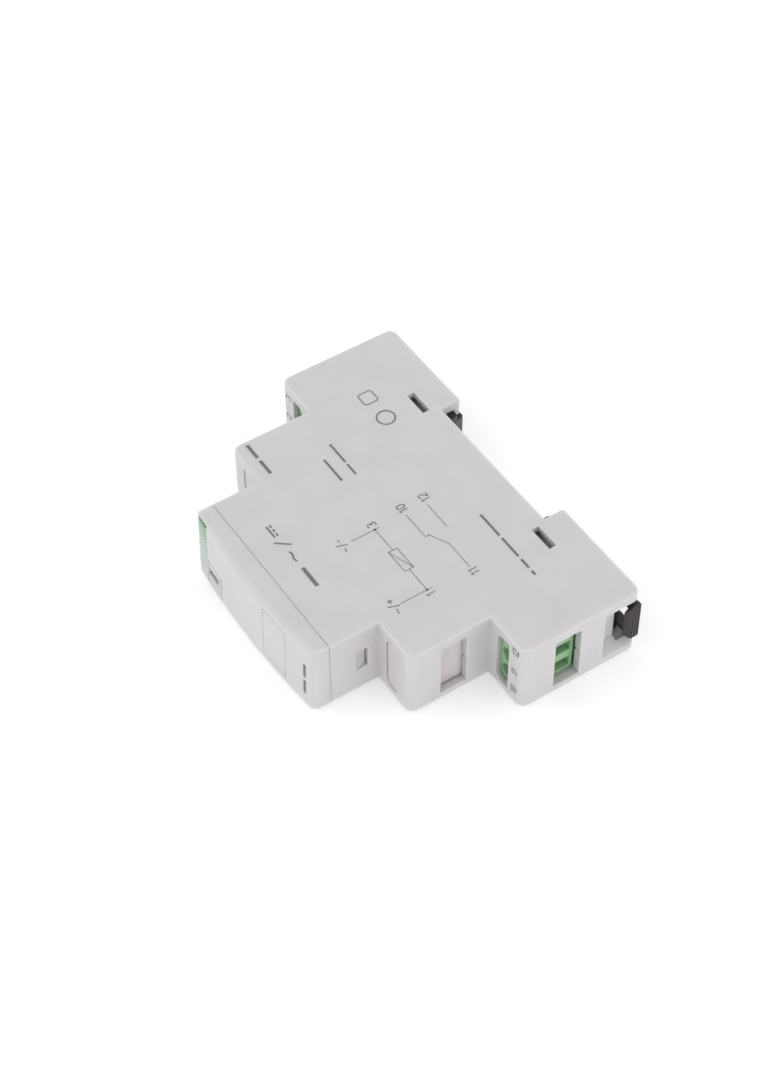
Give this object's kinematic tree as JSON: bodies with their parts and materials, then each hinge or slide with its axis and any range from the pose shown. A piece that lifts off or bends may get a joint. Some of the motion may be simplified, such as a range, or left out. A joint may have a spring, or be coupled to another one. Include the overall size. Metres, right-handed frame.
{
  "type": "DIN rail relay module",
  "caption": "One-module rail-mounted relay with a stepped housing, screw terminals at both ends, sprung rail latches and a changeover relay inside.",
  "frame": {"origin": "middle of the bounding box at the plane of the unprinted side cover, which the module lies on", "axes": "+X along the module towards terminals 10 to 12, +Y from the crowned front towards the rail, +Z across the module towards the printed side"},
  "size_m": [0.09, 0.0652, 0.018],
  "materials": {
    "housing": "fine textured light grey moulded plastic",
    "blank": "light warm grey moulded plastic",
    "green_lens": "translucent green light guide",
    "clear_window": "clear light guide",
    "terminal_green": "slightly translucent green moulded plastic",
    "latch_black": "black moulded plastic",
    "zinc_steel": "zinc plated steel",
    "tinned_brass": "tinned brass",
    "board": "green solder mask",
    "led": "diffused green epoxy",
    "black_resin": "moulded black resin",
    "capacitor_can": "aluminium can",
    "varistor": "blue epoxy coating",
    "relay_case": "dark moulded plastic",
    "bobbin": "natural moulded plastic",
    "copper": "enamelled copper wire",
    "relay_iron": "soft iron, nickel plated"
  },
  "bodies": {
    "housing": {"main_shell": "housing", "side_cover": "housing", "front_cover": "housing", "front_blank": "blank", "blank_insert_upper": "blank", "blank_insert_lower": "blank", "indicator_lens": "green_lens", "indicator_window": "clear_window", "terminal_block_lower": "terminal_green", "contact_bar_10": "tinned_brass", "contact_bar_11": "tinned_brass", "contact_bar_12": "tinned_brass", "terminal_block_upper": "terminal_green", "contact_bar_1": "tinned_brass", "contact_bar_2": "tinned_brass", "contact_bar_3": "tinned_brass", "circuit_board": "board", "status_led": "led", "bridge_rectifier": "black_resin", "series_resistor": "black_resin", "flyback_diode": "black_resin", "smoothing_capacitor": "capacitor_can", "surge_varistor": "varistor", "relay_cover": "relay_case", "relay_base": "relay_case", "coil_bobbin": "bobbin", "coil_winding": "copper", "coil_core": "relay_iron", "coil_yoke": "relay_iron", "armature_spring": "zinc_steel", "contact_normally_open": "tinned_brass", "contact_normally_closed": "tinned_brass", "coil_pin_1": "tinned_brass", "coil_pin_2": "tinned_brass"},
    "latch_lower": {"rail_latch_lower": "latch_black"},
    "screw_10": {"terminal_screw_10": "zinc_steel"},
    "cage_10": {"clamp_cage_10": "zinc_steel"},
    "screw_11": {"terminal_screw_11": "zinc_steel"},
    "cage_11": {"clamp_cage_11": "zinc_steel"},
    "screw_12": {"terminal_screw_12": "zinc_steel"},
    "cage_12": {"clamp_cage_12": "zinc_steel"},
    "latch_upper": {"rail_latch_upper": "latch_black"},
    "screw_1": {"terminal_screw_1": "zinc_steel"},
    "cage_1": {"clamp_cage_1": "zinc_steel"},
    "screw_2": {"terminal_screw_2": "zinc_steel"},
    "cage_2": {"clamp_cage_2": "zinc_steel"},
    "screw_3": {"terminal_screw_3": "zinc_steel"},
    "cage_3": {"clamp_cage_3": "zinc_steel"},
    "armature": {"armature": "relay_iron", "contact_blade": "tinned_brass"}
  },
  "joints": [
    {"name": "latch_lower_slide", "type": "slide", "parent": "housing", "child": "latch_lower", "axis": [1, 0, 0], "range_m": [0, 0.0025], "stiffness_N_per_m": 800, "springref_m": -0.0005},
    {"name": "screw_10_turn", "type": "hinge", "parent": "housing", "child": "screw_10", "pos_m": [0.0384, 0.0067, 0.004], "axis": [0, 1, 0], "range_deg": [0, 1080]},
    {"name": "cage_10_slide", "type": "slide", "parent": "housing", "child": "cage_10", "axis": [0, -1, 0], "range_m": [0, 0.0015]},
    {"name": "screw_11_turn", "type": "hinge", "parent": "housing", "child": "screw_11", "pos_m": [0.0384, 0.0067, 0.009], "axis": [0, 1, 0], "range_deg": [0, 1080]},
    {"name": "cage_11_slide", "type": "slide", "parent": "housing", "child": "cage_11", "axis": [0, -1, 0], "range_m": [0, 0.0015]},
    {"name": "screw_12_turn", "type": "hinge", "parent": "housing", "child": "screw_12", "pos_m": [0.0384, 0.0067, 0.014], "axis": [0, 1, 0], "range_deg": [0, 1080]},
    {"name": "cage_12_slide", "type": "slide", "parent": "housing", "child": "cage_12", "axis": [0, -1, 0], "range_m": [0, 0.0015]},
    {"name": "latch_upper_slide", "type": "slide", "parent": "housing", "child": "latch_upper", "axis": [-1, 0, 0], "range_m": [0, 0.0025], "stiffness_N_per_m": 800, "springref_m": -0.0005},
    {"name": "screw_1_turn", "type": "hinge", "parent": "housing", "child": "screw_1", "pos_m": [-0.0384, 0.0067, 0.004], "axis": [0, 1, 0], "range_deg": [0, 1080]},
    {"name": "cage_1_slide", "type": "slide", "parent": "housing", "child": "cage_1", "axis": [0, -1, 0], "range_m": [0, 0.0015]},
    {"name": "screw_2_turn", "type": "hinge", "parent": "housing", "child": "screw_2", "pos_m": [-0.0384, 0.0067, 0.009], "axis": [0, 1, 0], "range_deg": [0, 1080]},
    {"name": "cage_2_slide", "type": "slide", "parent": "housing", "child": "cage_2", "axis": [0, -1, 0], "range_m": [0, 0.0015]},
    {"name": "screw_3_turn", "type": "hinge", "parent": "housing", "child": "screw_3", "pos_m": [-0.0384, 0.0067, 0.014], "axis": [0, 1, 0], "range_deg": [0, 1080]},
    {"name": "cage_3_slide", "type": "slide", "parent": "housing", "child": "cage_3", "axis": [0, -1, 0], "range_m": [0, 0.0015]},
    {"name": "armature_tilt", "type": "hinge", "parent": "housing", "child": "armature", "pos_m": [0.00865, 0.0125, 0.0152], "axis": [0, 1, 0], "range_deg": [0, 4.2], "stiffness_Nm_per_rad": 0.02, "springref_deg": -5.73}
  ],
  "couplings": [
    {"joint": "screw_10_turn", "follows": "cage_10_slide", "rad_per_m": 12566},
    {"joint": "screw_11_turn", "follows": "cage_11_slide", "rad_per_m": 12566},
    {"joint": "screw_12_turn", "follows": "cage_12_slide", "rad_per_m": 12566},
    {"joint": "screw_1_turn", "follows": "cage_1_slide", "rad_per_m": 12566},
    {"joint": "screw_2_turn", "follows": "cage_2_slide", "rad_per_m": 12566},
    {"joint": "screw_3_turn", "follows": "cage_3_slide", "rad_per_m": 12566}
  ]
}
